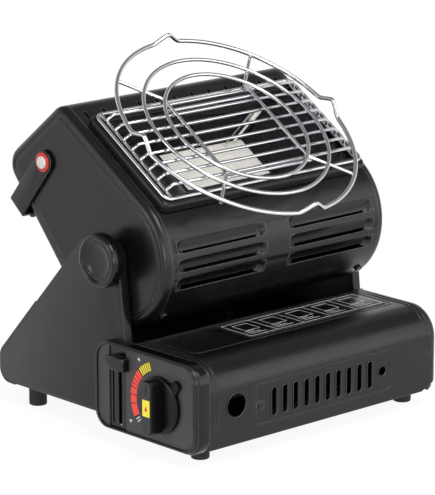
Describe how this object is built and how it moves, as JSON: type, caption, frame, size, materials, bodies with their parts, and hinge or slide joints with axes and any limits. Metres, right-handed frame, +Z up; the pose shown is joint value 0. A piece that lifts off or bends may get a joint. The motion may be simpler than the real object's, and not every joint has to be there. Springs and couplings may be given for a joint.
{
  "type": "portable gas heater",
  "caption": "Portable gas heater and cooker: a louvred burner head tilts between side brackets on a base with a hinged cartridge cover, knob, lock lever, handle and pot support.",
  "frame": {"origin": "on the floor under the middle of the heater, halfway between its ends and between the front of the bezel and the back cover", "axes": "+X towards the right end, away from the control bezel; +Y from the front to the back; +Z up"},
  "size_m": [0.3174, 0.272, 0.3177],
  "materials": {
    "black_coat": "satin black powder coat",
    "black_plastic": "glossy moulded black",
    "rubber": "matt black",
    "zinc_steel": "zinc plated",
    "bright_steel": "bright rolled sheet",
    "chrome": "chrome plated wire",
    "brass": "machined",
    "aluminium": "drawn tube",
    "ceramic": "unglazed, fine holes",
    "fibre": "pressed fibre",
    "yellow_plastic": "printed inlay",
    "red_plastic": "red plastic washer",
    "white_plastic": "white plastic cap"
  },
  "bodies": {
    "base": {"cartridge_tray": "black_coat", "base_pan": "black_coat", "left_bracket": "black_coat", "right_bracket": "black_coat", "back_cover": "black_coat", "front_feet": "rubber", "rear_feet": "rubber", "foot_screws": "zinc_steel", "lid_hinge_pins": "zinc_steel", "control_bezel": "black_plastic", "valve_plate": "zinc_steel", "gas_valve": "brass", "piezo_igniter": "black_plastic", "cartridge_cradle": "zinc_steel", "gas_pipe": "aluminium", "banjo_ring": "brass", "pivot_spacer": "zinc_steel"},
    "lid": {"cartridge_lid": "black_coat", "label_plate": "black_coat"},
    "gas_knob": {"gas_knob": "black_plastic", "knob_mark": "yellow_plastic", "valve_spindle": "brass"},
    "lock_lever": {"lock_lever": "black_plastic"},
    "lock_plate": {"lock_plate": "zinc_steel"},
    "head": {"friction_washers": "fibre", "left_tilt_stud": "zinc_steel", "right_tilt_stud": "zinc_steel", "head_shell": "black_coat", "back_panel": "black_coat", "left_end_cap": "black_coat", "right_end_cap": "black_coat", "burner_surround": "black_coat", "reflector": "bright_steel", "ceramic_plaque": "ceramic", "burner_box": "zinc_steel", "mixing_tube": "zinc_steel", "gas_feed_tube": "aluminium", "gas_jet": "brass", "ignition_electrode": "ceramic", "flame_probe": "zinc_steel", "electrode_bracket": "zinc_steel", "heat_shield": "zinc_steel", "grille": "chrome", "handle_screws": "zinc_steel", "handle_washers": "red_plastic", "handle_caps": "white_plastic", "head_bolts": "zinc_steel"},
    "left_tilt_knob": {"left_tilt_knob": "black_plastic", "left_knob_insert": "brass"},
    "right_tilt_knob": {"right_tilt_knob": "black_plastic", "right_knob_insert": "brass"},
    "handle": {"handle_frame": "black_coat", "handle_grip": "black_plastic"},
    "pot_support": {"pot_support": "chrome"}
  },
  "joints": [
    {"name": "head_tilt", "type": "hinge", "parent": "base", "child": "head", "pos_m": [0.0067, -0.011, 0.155], "axis": [1, 0, 0], "range_deg": [-32.5, 52.5]},
    {"name": "gas_knob_turn", "type": "hinge", "parent": "base", "child": "gas_knob", "pos_m": [-0.1493, -0.088, 0.0483], "axis": [-1, 0, 0], "range_deg": [0, 130]},
    {"name": "lock_lever_slide", "type": "slide", "parent": "base", "child": "lock_lever", "axis": [0, 0, -1], "range_m": [0, 0.04]},
    {"name": "lock_plate_slide", "type": "slide", "parent": "base", "child": "lock_plate", "axis": [-1, 0, 0], "range_m": [0, 0.004]},
    {"name": "lid_hinge", "type": "hinge", "parent": "base", "child": "lid", "pos_m": [0.0067, -0.1265, 0.017], "axis": [1, 0, 0], "range_deg": [0, 95]},
    {"name": "left_tilt_knob_turn", "type": "hinge", "parent": "head", "child": "left_tilt_knob", "pos_m": [-0.1383, -0.011, 0.155], "axis": [-1, 0, 0], "range_deg": [0, 180]},
    {"name": "right_tilt_knob_turn", "type": "hinge", "parent": "head", "child": "right_tilt_knob", "pos_m": [0.1517, -0.011, 0.155], "axis": [1, 0, 0], "range_deg": [0, 180]},
    {"name": "handle_swing", "type": "hinge", "parent": "head", "child": "handle", "pos_m": [0.0067, 0.08108, 0.22077], "axis": [1, 0, 0], "range_deg": [0, 140]},
    {"name": "pot_support_lift", "type": "slide", "parent": "head", "child": "pot_support", "axis": [0, -0.5373, 0.8434], "range_m": [0, 0.05]}
  ],
  "couplings": [
    {"joint": "lock_plate_slide", "follows": "lock_lever_slide", "ratio": 0.1}
  ]
}
